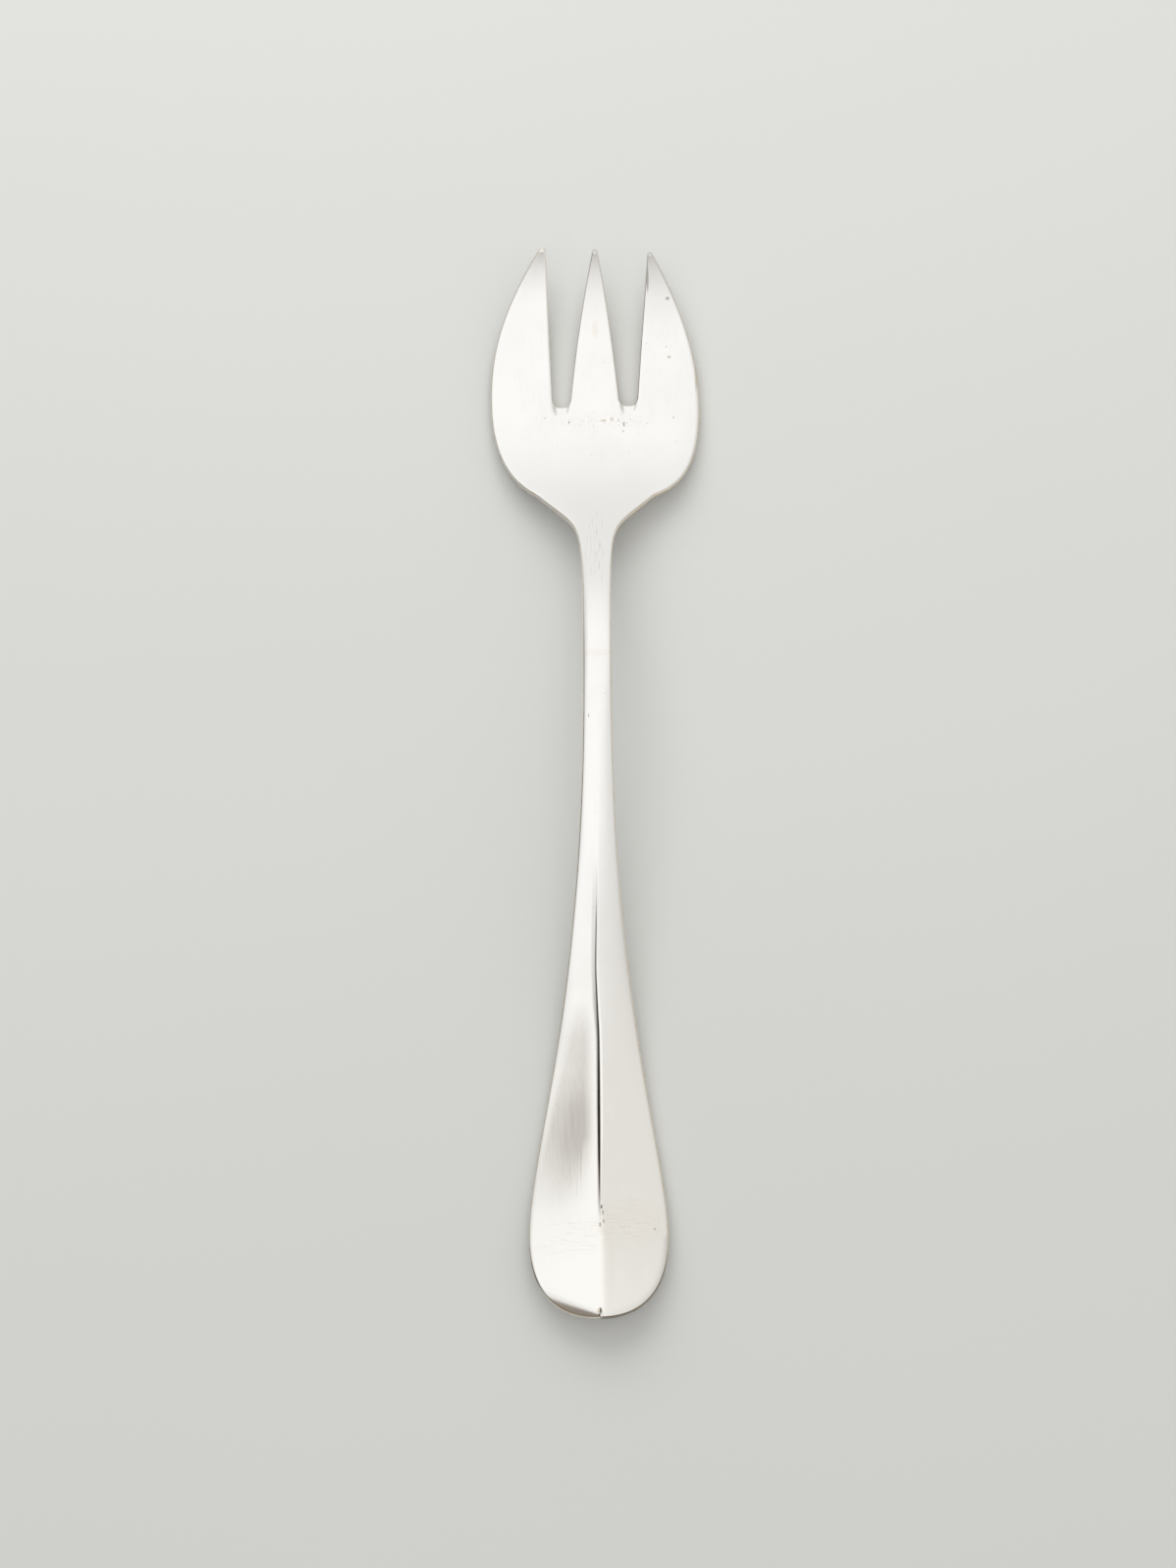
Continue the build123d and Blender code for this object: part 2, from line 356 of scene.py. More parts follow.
class Walk:
    """Points along a dense line with the unit normals that point into the fork."""

    def __init__(self, line):
        way = np.gradient(line, axis=0)
        way /= np.linalg.norm(way, axis=1, keepdims=True)
        self.line = line
        self.inward = np.stack([-way[:, 1], way[:, 0]], 1)

    def at(self, low, high, own_keys, keys):
        """Points and normals interpolated at keys, between two indices whose points have their own keys."""
        span = slice(low, high + 1)
        picked = [np.interp(keys, own_keys, part[span, axis])
                  for part in (self.line, self.inward) for axis in (0, 1)]
        return np.stack(picked, 1)

    def by_share(self, low, high, shares):
        """At shares of the length between two indices."""
        run = self.line[low:high + 1]
        far = np.concatenate([[0.0], np.cumsum(np.linalg.norm(np.diff(run, axis=0), axis=1))])
        return self.at(low, high, far, far[-1] * shares)

    def by_level(self, low, high, levels):
        """At levels along the fork between two indices."""
        return self.at(low, high, self.line[low:high + 1, 1], levels)


def half_grid(shape, side):
    """Plan of half the fork: a grid of columns from the middle to the edge and rows from end to tips.

    The outline is inset by the rim radius. Each block is filled between its two sides, x as a share of the
    side and y bent by the square of that share, and its first and last row are pulled onto the handle end,
    the slot root and the tips with a weight that fades with the square of the distance. Also returns the walk
    round the outline: points, inward normals and rim radii.
    """
    line, (end_turn, tip_out, tip_in, root_out, root_in, nose_turn) = half_outline(shape, side)
    walk = Walk(line)
    # Columns crowd towards the crest, rows towards the handle end, the slot roots and the tips
    columns = np.linspace(0.0, 1.0, HALF_COLUMNS + 1)
    handle_share = 0.4 * columns + 0.6 * columns ** 3
    count = np.linspace(0.0, 1.0, BODY_ROWS + 1)
    pitch = 0.55 - 0.30 * np.exp(-(count / 0.03) ** 2) - 0.40 * np.exp(-((1 - count) / 0.06) ** 2)
    climb = np.concatenate([[0.0], np.cumsum((pitch[1:] + pitch[:-1]) / 2)])
    climb /= climb[-1]
    tine = np.linspace(0.0, 1.0, TINE_ROWS + 1)
    rise = 1.15 * tine - 0.15 * tine ** 2
    y_low = line[end_turn, 1]
    y_top = side.root_y + ROOT_ROW_RISE

    runs = [
        walk.by_share(0, end_turn, handle_share ** 0.9),
        walk.by_level(end_turn, tip_out, y_low + (y_top - y_low) * climb),
        walk.by_level(end_turn, tip_out, y_top + (line[tip_out, 1] - y_top) * rise),
        walk.by_share(tip_out, tip_in, np.linspace(0, 1, OUTER_COLUMNS + 1)),
        walk.by_share(tip_in, root_out, 1 - rise[::-1]),
        walk.by_share(root_out, root_in, np.linspace(0, 1, SLOT_COLUMNS + 1)),
        walk.by_share(root_in, nose_turn, rise),
        walk.by_share(nose_turn, len(line) - 1, np.linspace(0, 1, MIDDLE_COLUMNS + 1)),
    ]
    runs[0][0, 2:] = (0, 1)
    runs[-1][-1, 2:] = (0, -1)
    loop = np.vstack([runs[0]] + [run[1:] for run in runs[1:]])
    points = loop[:, :2]
    inward = loop[:, 2:] / np.linalg.norm(loop[:, 2:], axis=1, keepdims=True)
    far = np.concatenate([[0.0], np.cumsum(np.linalg.norm(np.diff(points, axis=0), axis=1))])
    stop = np.cumsum([0] + [len(run) - 1 for run in runs])
    fade = ease((far - far[stop[2]]) / (far[stop[3]] - far[stop[2]] - RIM_CHANGE_STOP))
    radius = (shape.rim_radius + (shape.slot_rim_radius - shape.rim_radius) * fade) / MM
    inset = points + inward * radius[:, None]
    end, body, outer, tip, out_side, root, in_side, nose = (
        inset[low:high + 1] for low, high in zip(stop[:-1], stop[1:]))

    grid = np.full((BODY_ROWS + TINE_ROWS + 1, HALF_COLUMNS + 1, 2), np.nan)
    root_row = np.vstack([np.linspace((0, y_top), in_side[0], MIDDLE_COLUMNS + 1), root[::-1][1:],
                          np.linspace(root[0], body[-1], OUTER_COLUMNS + 1)[1:]])
    axis = end[0, 1] + (y_top - end[0, 1]) * climb
    blend = ease((axis - HEAD_FROM) / HEAD_OVER)[:, None]
    part = handle_share * (1 - blend) + root_row[:, 0] / root_row[-1, 0] * blend
    block = np.stack([part * body[:, :1], axis[:, None] + (body[:, 1] - axis)[:, None] * part ** 2], 2)
    near_end = (1 - np.clip((axis - axis[0]) / END_PULL, 0, 1)) ** 2
    near_root = (1 - np.clip((y_top - axis) / ROOT_PULL, 0, 1)) ** 2
    block += near_end[:, None, None] * (end - block[0])
    block += near_root[:, None, None] * (root_row - block[-1])
    grid[:BODY_ROWS + 1] = block

    near_tip = ((1 - np.clip((1 - tine) / TIP_PULL, 0, 1)) ** 2)[:, None, None]
    near_foot = ((1 - np.clip(tine / FOOT_PULL, 0, 1)) ** 2)[:, None, None]
    part = np.linspace(0, 1, MIDDLE_COLUMNS + 1)
    axis = y_top + (nose[-1, 1] - y_top) * rise
    block = np.stack([part * in_side[:, :1], axis[:, None] + (in_side[:, 1] - axis)[:, None] * part ** 2], 2)
    block += near_tip * (nose[::-1] - block[-1])
    block += near_foot * (root_row[:MIDDLE_COLUMNS + 1] - block[0])
    grid[BODY_ROWS:, :MIDDLE_COLUMNS + 1] = block

    part = np.linspace(0, 1, OUTER_COLUMNS + 1)[None, :, None]
    block = out_side[::-1][:, None] * (1 - part) + outer[:, None] * part
    block += near_tip * (tip[::-1] - block[-1])
    grid[BODY_ROWS:, MIDDLE_COLUMNS + SLOT_COLUMNS:] = block
    return grid, points, inward, radius


class Form:
    """Heights of the front and back of the fork, in millimetres, over places in plan."""

    # Places along the fork where the thickness and the back are given, and their values there
    places = [Y_END, -58.0, -38.0, -20.0, 0.0, Y_NECK, 43.0, 53.2, Y_TIP]
    thickness = [2.3, 2.5, 2.5, 2.9, 3.1, 3.1, 1.9, 1.9, 1.1]
    crown = [0.30, 0.30, 0.30, 0.30, 0.30, 0.30, 0.35, 0.35, 0.08]    # rise of the back with the square
    flank = [0.05, 0.05, 0.05, 0.45, 0.75, 0.75, 0.05, 0.05, 0.02]    # rise of the back with the fourth power
    # Fall of the front from crest to edge: even, with the square and with the sixth power of the share
    front_places = [Y_END, -58.0, -46.0, -36.0, -28.0, -20.0, -5.0, 6.0, 20.0, 30.0, 43.0, 53.2, Y_TIP]
    roof = [0.72, 1.00, 0.80, 0.50, 0.27, 0.22, 0.07, 0.03, 0.0, 0.0, 0.0, 0.0, 0.0]
    bulge = [0.0, -0.05, 0.0, 0.20, 0.25, 0.15, 0.10, 0.09, 0.04, 0.08, 0.10, 0.10, 0.05]
    shed = [0.04, 0.05, 0.06, 0.08, 0.10, 0.11, 0.10, 0.07, 0.10, 0.08, 0.03, 0.03, 0.02]
    # The crest stands over the left flank with a steep and a slanted face: their slopes and reaches
    crest_places = [-63.0, -60.0, -55.0, -50.0, -45.0, -36.0, -30.0, -25.0, -19.0, -14.0, -7.0]
    steep = [0.0, 0.34, 0.46, 0.48, 0.38, 0.28, 0.27, 0.28, 0.25, 0.12, 0.0]
    steep_reach = [0.15, 0.16, 0.23, 0.32, 0.33, 0.24, 0.23, 0.20, 0.20, 0.20, 0.20]
    slant = [0.0, 0.08, 0.18, 0.29, 0.36, 0.37, 0.34, 0.28, 0.24, 0.17, 0.0]
    slant_reach = [0.30, 0.30, 0.40, 0.45, 0.55, 0.55, 0.75, 0.75, 0.80, 0.80, 0.80]
    # Rounding of the top of the crest, and how far right of the steep face the top lies
    round_places = [Y_END, -63.5, -60.0, -20.0, -9.0, 2.0]
    crest_round = [0.50, 0.40, 0.06, 0.06, 0.15, 0.30]
    top_places = [-59.0, -55.0, -52.0, -49.0, -41.0, -33.0, -27.0, -20.0]
    crest_top = [0.0, 0.10, 0.18, 0.28, 0.30, 0.24, 0.16, 0.0]
    # Wander of the crest to the right, and strength of the tarnish at its foot
    wander_places = [-66.0, -62.0, -59.0, -47.0, -36.0, -30.0, -25.0, -19.0, -13.0,
                     0.0, 12.0, 20.0, 28.0, 38.0]
    wander = [0.43, 0.38, 0.26, 0.29, 0.21, -0.04, -0.22, -0.14, -0.04, 0.0, 0.15, 0.33, 0.33, 0.0]
    groove_places = [-61.5, -58.0, -55.0, -52.0, -49.0, -46.0, -41.0, -34.0, -26.0, -16.0]
    groove_strength = [0.0, 0.50, 0.65, 1.0, 1.0, 0.80, 0.60, 0.20, 0.10, 0.0]
    # Bow of the stem and head to the right
    bow_places = [-55.0, -28.0, -12.0, 6.0, 24.0, 36.0, 50.0, 60.0, 74.0]
    bow = [0.0, 0.11, 0.15, 0.23, 0.23, 0.16, 0.15, 0.15, 0.22]

    def __init__(self, shape):
        self.shape = shape
        line, _ = half_outline(shape, RIGHT)
        widest = int(np.argmax(line[:, 0]))
        handle = shape.handle_width / MM / 2
        self.side_y = np.concatenate([[Y_END - 1], line[CURVE_POINTS:widest, 1], [Y_TIP + 1]])
        self.side_x = np.concatenate([[handle], line[CURVE_POINTS:widest, 0], [shape.head_width / MM / 2]])
        self.end_line = line[:CURVE_POINTS]

    def back_line(self, y):
        """Two places at rest, an eased arch between them, both ends turned up by a square law."""
        arch = self.shape.arch_height / MM
        handle_end = np.clip((Y_HANDLE_REST - y) / (Y_HANDLE_REST - Y_END), 0, None)
        tips = np.clip((y - Y_PALM_REST) / (Y_TIP - Y_PALM_REST), 0, None)
        up = ease((y - Y_HANDLE_REST) / (Y_ARCH - Y_HANDLE_REST))
        down = ease((Y_PALM_REST - y) / (Y_PALM_REST - Y_ARCH))
        ends = self.shape.end_lift / MM * handle_end ** 2 + self.shape.tip_lift / MM * tips ** 2
        return arch * np.minimum(up, down) + ends - REST_WEAR

    def crest_x(self, y):
        """The crest of the handle wanders about the middle, and the stem is rounder on its left."""
        return graded(y, self.wander_places, self.wander)

    def groove(self, x, y):
        """Tarnish at the foot of the crest: a bell across it, strongest in the lower half of the handle."""
        bell = np.exp(-((x - self.crest_x(y) + GROOVE_ASIDE) / GROOVE_WIDTH) ** 2)
        return bell * graded(y, self.groove_places, self.groove_strength)

    def crest_step(self, off, y):
        """How far the front drops from the crest to its left: two slopes, each up to its own reach.

        Returns the drop at this place and the whole drop of the cross section.
        """
        left = CREST_SOFT * np.logaddexp(0.0, -off / CREST_SOFT)
        drop = whole = 0.0
        faces = ((self.steep, self.steep_reach, STEEP_SOFT), (self.slant, self.slant_reach, SLANT_SOFT))
        for slopes, reaches, soft in faces:
            slope = graded(y, self.crest_places, slopes) * self.shape.crest_gain
            reach = graded(y, self.crest_places, reaches)
            drop = drop + slope * ramp(left, reach, soft)
            whole = whole + slope * reach
        return drop, whole

    def front(self, x, y):
        """Back line + thickness - a s - b s^2 - c s^6, less the step on the left of the crest, which its
        flank makes good towards the edge, and less what is filed and worn away.

        s is the share of the half width, from the rounded top of the crest, as the root of x^2 + e^2.
        """
        half = np.interp(y, self.side_y, self.side_x)
        off = x - self.crest_x(y)
        aside = off - graded(y, self.top_places, self.crest_top)
        part = np.sqrt(aside ** 2 + graded(y, self.round_places, self.crest_round) ** 2) / half
        drop, whole = self.crest_step(off, y)
        roof = graded(y, self.front_places, self.roof) - whole * ease(0.5 - off / CREST_CHANGE)
        fall = (roof * part + graded(y, self.front_places, self.bulge) * part ** 2
                + graded(y, self.front_places, self.shed) * part ** 6)
        height = self.back_line(y) + graded(y, self.places, self.thickness) - fall - drop
        return height - self.filed_roots(x, y) - self.worn_end(x, y)

    def filed_roots(self, x, y):
        """Slope filed into each slot root: depth grows evenly over its length, between eased sides."""
        depth = 0.0
        for side, sign in ((LEFT, -1), (RIGHT, 1)):
            along = np.clip((y - side.root_y + ROOT_RUN) / ROOT_RUN, 0.0, ROOT_RUN_LIMIT)
            middle = sign * (side.root_x - self.shape.slot_width / MM / 2)
            across = 1 - ease((np.abs(x - middle) - ROOT_HALF_WIDTH - ROOT_SPREAD * along) / ROOT_SIDE)
            depth = depth + ROOT_DEPTH * along * across
        return depth

    def worn_end(self, x, y):
        """A plane facet worn on the left of the handle end: its depth grows evenly beyond a straight line,
        less sharp towards the left, and ends in a nick at the crest.

        On the right the edge is worn round: the depth grows with the 3/2 power of the nearness to the edge.
        """
        turn = math.radians(FACET_TURN)
        beyond = (FACET_X - x) * math.sin(turn) + (FACET_Y - y) * math.cos(turn)
        soft = FACET_SOFT + FACET_SOFT_GAIN * np.clip(-x, 0.0, FACET_SOFT_REACH)
        depth = FACET_SLOPE * soft * np.logaddexp(0.0, beyond / soft)
        facet = depth * (1 - ease((x - NICK_FROM) / NICK_WIDTH))
        gap = np.full(np.shape(x), ROLL_REACH)
        near = (y < Y_WIDEST) & (x > 0.0)
        across = x[near, None] - self.end_line[:, 0]
        along = y[near, None] - self.end_line[:, 1]
        gap[near] = np.hypot(across, along).min(axis=1)
        roll = ROLL_DEPTH * ease(x / ROLL_START) * (1 - np.clip(gap / ROLL_REACH, 0, 1)) ** 1.5
        return facet + roll

    def back(self, x, y):
        """Back line + a s^2 + b s^4, with s the share of the half width."""
        part = np.abs(x) / np.interp(y, self.side_y, self.side_x)
        return (self.back_line(y) + graded(y, self.places, self.crown) * part ** 2
                + graded(y, self.places, self.flank) * part ** 4)

    def bend(self, spots):
        """Turn each cross section square to the bent blank, bow stem and head to the right, flatten the
        places at rest.

        y moves by minus the height above the middle of the blank times the slope of that middle.
        """
        x, y, z = spots.T
        table = np.linspace(Y_END - BEND_MARGIN, Y_TIP + BEND_MARGIN, BEND_POINTS)
        middle = self.back_line(table) + graded(table, self.places, self.thickness) / 2
        slope = np.interp(y, table, np.gradient(middle, table))
        moved = y - (z - np.interp(y, table, middle)) * slope
        return np.stack([x + graded(y, self.bow_places, self.bow), moved, np.maximum(z, 0.0)], 1)


def rim_profile(form, points, inward, radius):
    """Rounded rim carried round the outline: an arc from the slope of the front to the wall, the wall, and
    an arc to the slope of the back. Offset r (1 - sin a) and drop r (cos a0 - cos a) with angle a."""
    rows = []
    edges = []
    for height, sign in ((form.front, 1.0), (form.back, -1.0)):
        near = points + inward * radius[:, None]
        far = points + inward * (radius + SLOPE_PROBE)[:, None]
        edge = height(*near.T)
        slope = np.arctan(sign * (height(*far.T) - edge) / SLOPE_PROBE)
        slope = np.clip(slope, LEAST_SLOPE, GREATEST_SLOPE)
        edges.append((edge, slope, radius / (1 - np.sin(slope)), sign))
    room = edges[0][0] - edges[1][0]
    need = sum(size * np.cos(slope) for _, slope, size, _ in edges)
    fit = np.minimum(1.0, RIM_FILL * room / need)
    turn = np.linspace(0, 1, ROUND_STEPS + 1)[:, None]
    for edge, slope, size, sign in edges:
        angle = slope + (math.pi / 2 - slope) * turn
        offset = size * (1 - np.sin(angle))
        drop = size * (np.cos(slope) - np.cos(angle)) * fit
        rows.append(np.stack([points[:, 0] + inward[:, 0] * offset, points[:, 1] + inward[:, 1] * offset,
                              edge - sign * drop], 2))
    front, back = rows
    wall = np.linspace(front[-1], back[-1], WALL_STEPS + 1)[1:-1]
    return np.concatenate([front[1:], wall, back[::-1][:-1]])


def grid_faces(number):
    """Quads between neighbours of a grid of vertex numbers."""
    corners = [number[:-1, :-1], number[:-1, 1:], number[1:, 1:], number[1:, :-1]]
    return np.stack(corners, 2).reshape(-1, 4)


def fork_mesh(shape):
    """Vertices, faces and wear of the whole fork: front grid, back grid and the rim between them.

    The wear is given per vertex: the nearness to the edge and the tarnish at the foot of the crest.
    """
    form = Form(shape)
    right, points_r, inward_r, radius_r = half_grid(shape, RIGHT)
    left, points_l, inward_l, radius_l = half_grid(shape, LEFT)
    flip = np.array([-1.0, 1.0])
    middle = (right[:, :1] + left[:, :1]) / 2
    plan = np.concatenate([(left * flip)[:, :0:-1], middle, right[:, 1:]], 1)
    present = np.isfinite(plan[..., 0])
    number = np.full(plan.shape[:2], -1)
    number[present] = np.arange(present.sum())
    flat = plan[present]
    front = np.column_stack([flat, form.front(*flat.T)])
    back = np.column_stack([flat, form.back(*flat.T)])

    points = np.vstack([points_r, (points_l * flip)[-2:0:-1]])
    inward = np.vstack([inward_r, (inward_l * flip)[-2:0:-1]])
    radius = np.concatenate([radius_r, radius_l[-2:0:-1]])
    rim = rim_profile(form, points, inward, radius)

    mid = HALF_COLUMNS
    last = BODY_ROWS + TINE_ROWS
    tine_out, slot_out, slot_in = HALF_COLUMNS, MIDDLE_COLUMNS + SLOT_COLUMNS, MIDDLE_COLUMNS
    half = np.array([(0, column) for column in range(tine_out)]
                    + [(row, tine_out) for row in range(last)]
                    + [(last, column) for column in range(tine_out, slot_out, -1)]
                    + [(row, slot_out) for row in range(last, BODY_ROWS, -1)]
                    + [(BODY_ROWS, column) for column in range(slot_out, slot_in, -1)]
                    + [(row, slot_in) for row in range(BODY_ROWS, last)]
                    + [(last, column) for column in range(slot_in, -1, -1)])
    right_loop = number[half[:, 0], mid + half[:, 1]]
    left_loop = number[half[:, 0], mid - half[:, 1]]
    loop = np.concatenate([right_loop, left_loop[-2:0:-1]])

    total = len(flat)
    rest = rim.shape[0] * rim.shape[1]
    inner = 2 * total + np.arange(rest).reshape(rim.shape[:2])
    ring = np.vstack([loop, inner, loop + total])
    faces = grid_faces(number)
    faces = faces[(faces >= 0).all(1)]
    on = np.roll(ring, -1, axis=1)
    around = np.stack([ring[:-1], ring[1:], on[1:], on[:-1]], 2).reshape(-1, 4)
    quads = np.vstack([faces, faces[:, ::-1] + total, around])

    spots = form.bend(np.vstack([front, back, rim.reshape(-1, 3)]))
    inside = np.interp(flat[:, 1], form.side_y, form.side_x) - np.abs(flat[:, 0])
    end = flat[:, 1] - np.interp(np.abs(flat[:, 0]), form.end_line[:, 0], form.end_line[:, 1])
    near = np.exp(-np.clip(np.minimum(inside, end), 0, None) / EDGE_REACH)
    wear = {"edge": np.concatenate([near, near, np.ones(rest)]),
            "groove": np.concatenate([form.groove(*flat.T), np.zeros(total + rest)])}
    return spots * MM, quads, wear


def new_object(name, spots, faces):
    """A smooth object at the origin whose mesh takes whole arrays of vertices and faces."""
    mesh = bpy.data.meshes.new(name)
    mesh.from_pydata(spots, [], faces)
    mesh.polygons.foreach_set("use_smooth", np.full(len(faces), True))
    mesh.update()
    if mesh.validate():
        raise RuntimeError(f"the mesh of {name} had faulty faces")
    piece = bpy.data.objects.new(name, mesh)
    bpy.context.scene.collection.objects.link(piece)
    return piece


class Wire:
    """A socket that takes part in expressions: each operator adds one Math node."""

    def __init__(self, shader, socket):
        self.shader = shader
        self.socket = socket

    def math(self, operation, first, second=0.0):
        """One Math node on two values or wires."""
        return self.shader.add("ShaderNodeMath", {0: first, 1: second}, operation=operation)

    def __add__(self, other):
        return self.math("ADD", self, other)

    def __sub__(self, other):
        return self.math("SUBTRACT", self, other)

    def __rsub__(self, other):
        return self.math("SUBTRACT", other, self)

    def __mul__(self, other):
        return self.math("MULTIPLY", self, other)

    def __truediv__(self, other):
        return self.math("DIVIDE", self, other)

    def __rtruediv__(self, other):
        return self.math("DIVIDE", other, self)

    def __neg__(self):
        return self.math("MULTIPLY", self, -1.0)

    def __abs__(self):
        return self.math("ABSOLUTE", self)

    __radd__ = __add__
    __rmul__ = __mul__


class Shader:
    """The node tree of a material or a world."""

    def __init__(self, owner):
        owner.use_nodes = True
        self.tree = owner.node_tree
        self.tree.nodes.clear()

    def add(self, kind, inputs=None, out=0, **settings):
        """Add one node: settings first, then a value or wire for each named socket. Gives one output."""
        node = self.tree.nodes.new(kind)
        for key, value in settings.items():
            setattr(node, key, value)
        for key, value in (inputs or {}).items():
            socket = node.inputs[key] if isinstance(key, int) else self.find(node.inputs, key)
            if isinstance(value, Wire):
                self.tree.links.new(value.socket, socket)
            else:
                socket.default_value = value
        if not node.outputs:
            return node
        return Wire(self, node.outputs[out] if isinstance(out, int) else self.find(node.outputs, out))

    @staticmethod
    def find(sockets, key):
        """The socket with this identifier, or else with this name."""
        for socket in sockets:
            if socket.identifier == key:
                return socket
        return sockets[key]

    def step(self, value, low, high):
        """Smooth step of a value from 0 at low to 1 at high; low may be the larger."""
        flip = low > high
        ends = {"From Min": min(low, high), "From Max": max(low, high)}
        result = self.add("ShaderNodeMapRange", {"Value": value, **ends}, interpolation_type="SMOOTHSTEP")
        return 1 - result if flip else result

    def blend(self, factor, first, second):
        """Mix of two colours."""
        colours = {"Factor_Float": factor, "A_Color": first, "B_Color": second}
        return self.add("ShaderNodeMix", colours, out="Result_Color", data_type="RGBA")

    def noise(self, vector, scale, detail):
        """Fractal noise about 0.5."""
        return self.add("ShaderNodeTexNoise", {"Vector": vector, "Scale": scale, "Detail": detail}, out="Fac")

    def stretch(self, vector, scale, turn=0.0, shift=(0.0, 0.0, 0.0)):
        """Coordinates moved, turned about Z and scaled."""
        return self.add("ShaderNodeMapping", {"Vector": vector, "Location": shift,
                                              "Rotation": (0.0, 0.0, math.radians(turn)), "Scale": scale})

    def apart(self, vector):
        """X, Y and Z of a vector."""
        x = self.add("ShaderNodeSeparateXYZ", {"Vector": vector})
        node = x.socket.node
        return x, Wire(self, node.outputs[1]), Wire(self, node.outputs[2])


def rgba(triple, shade=1.0):
    """A colour, made darker by a factor, with full alpha."""
    return (*(part * shade for part in triple), 1.0)


# Marks on the front of the fork: x, y, half width and half height in millimetres, strength
BROWN_MARKS = [
    # Palm
    (1.3, 51.1, 0.45, 0.15, 0.45), (2.5, 51.3, 0.20, 0.30, 0.45), (3.4, 51.1, 0.10, 0.20, 0.50),
    # Right tine
    (10.6, 60.0, 0.25, 0.20, 0.60), (10.2, 61.4, 0.10, 0.15, 0.40), (14.4, 57.4, 0.20, 2.20, 0.35),
    # Handle end
    (0.1, -73.9, 0.40, 0.50, 0.50),
]
BLACK_MARKS = [
    # Palm
    (-3.5, 50.9, 0.12, 0.20, 0.45), (-6.9, 51.5, 0.12, 0.13, 0.30), (4.2, 50.6, 0.17, 0.33, 0.40),
    (4.1, 49.6, 0.13, 0.13, 0.35), (11.2, 51.5, 0.08, 0.13, 0.50),
    # Right tine
    (10.4, 68.1, 0.25, 0.25, 0.35), (7.6, 70.6, 0.14, 1.50, 0.45),
    # Stem
    (-1.0, 9.5, 0.12, 0.20, 0.35), (0.6, 30.5, 0.08, 0.50, 0.20),
    # Handle: foot of the crest, nick, right flank
    (0.4, -59.4, 0.13, 0.30, 0.80), (0.6, -60.2, 0.10, 0.30, 0.60), (0.7, -61.4, 0.12, 0.28, 0.45),
    (0.2, -61.9, 0.15, 0.34, 0.45), (0.2, -73.8, 0.14, 0.42, 0.90), (7.9, -62.6, 0.18, 0.20, 0.35),
]


